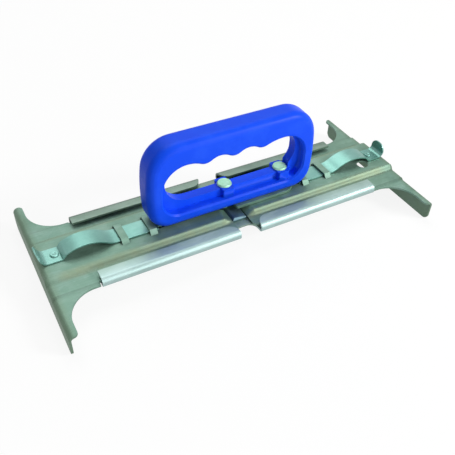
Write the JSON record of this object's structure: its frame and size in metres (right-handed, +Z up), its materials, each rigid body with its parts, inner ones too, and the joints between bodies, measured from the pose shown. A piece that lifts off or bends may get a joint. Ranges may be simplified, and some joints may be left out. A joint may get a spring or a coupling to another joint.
{
  "type": "brick jointer",
  "caption": "Hand tool with a closed grip on a folded channel, from which two tee-headed plates slide out to hook over both faces of a brick wall.",
  "frame": {"origin": "middle of the footprint, on the surface that the flange edges stand on", "axes": "+X along the slides towards the plate nearer the second grip rivet, +Y across the tool away from the notched side of the channel floor, +Z up through the grip"},
  "size_m": [0.28, 0.13, 0.087],
  "materials": {
    "galvanised": "satin",
    "galvanised_plate": "satin",
    "spring_strap": "satin",
    "rivet_steel": "satin",
    "blue_plastic": "gloss"
  },
  "bodies": {
    "channel_and_grip": {"body_channel": "galvanised", "grip_handle": "blue_plastic", "centre_stop_bar": "rivet_steel", "slot_cover_plate": "rivet_steel", "middle_grip_rivet": "rivet_steel", "middle_rivet_sleeve": "rivet_steel", "middle_rivet_washer": "rivet_steel", "right_grip_rivet": "rivet_steel", "right_rivet_sleeve": "rivet_steel", "right_rivet_washer": "rivet_steel"},
    "right_plate": {"right_tee_plate": "galvanised_plate", "right_catch_rivet": "rivet_steel"},
    "right_catch": {"right_catch_strap": "spring_strap"},
    "left_plate": {"left_tee_plate": "galvanised_plate", "left_catch_rivet": "rivet_steel"},
    "left_catch": {"left_catch_strap": "spring_strap"}
  },
  "joints": [
    {"name": "right_plate_slide", "type": "slide", "parent": "channel_and_grip", "child": "right_plate", "axis": [1, 0, 0], "range_m": [0, 0.045]},
    {"name": "left_plate_slide", "type": "slide", "parent": "channel_and_grip", "child": "left_plate", "axis": [-1, 0, 0], "range_m": [0, 0.045]},
    {"name": "right_catch_lift", "type": "hinge", "parent": "right_plate", "child": "right_catch", "pos_m": [0.1335, 0, 0.0218], "axis": [0, 1, 0], "range_deg": [0, 0.5], "stiffness_Nm_per_rad": 5, "springref_deg": -1.15},
    {"name": "left_catch_lift", "type": "hinge", "parent": "left_plate", "child": "left_catch", "pos_m": [-0.1335, 0, 0.0218], "axis": [0, -1, 0], "range_deg": [0, 0.5], "stiffness_Nm_per_rad": 5, "springref_deg": -1.15}
  ]
}
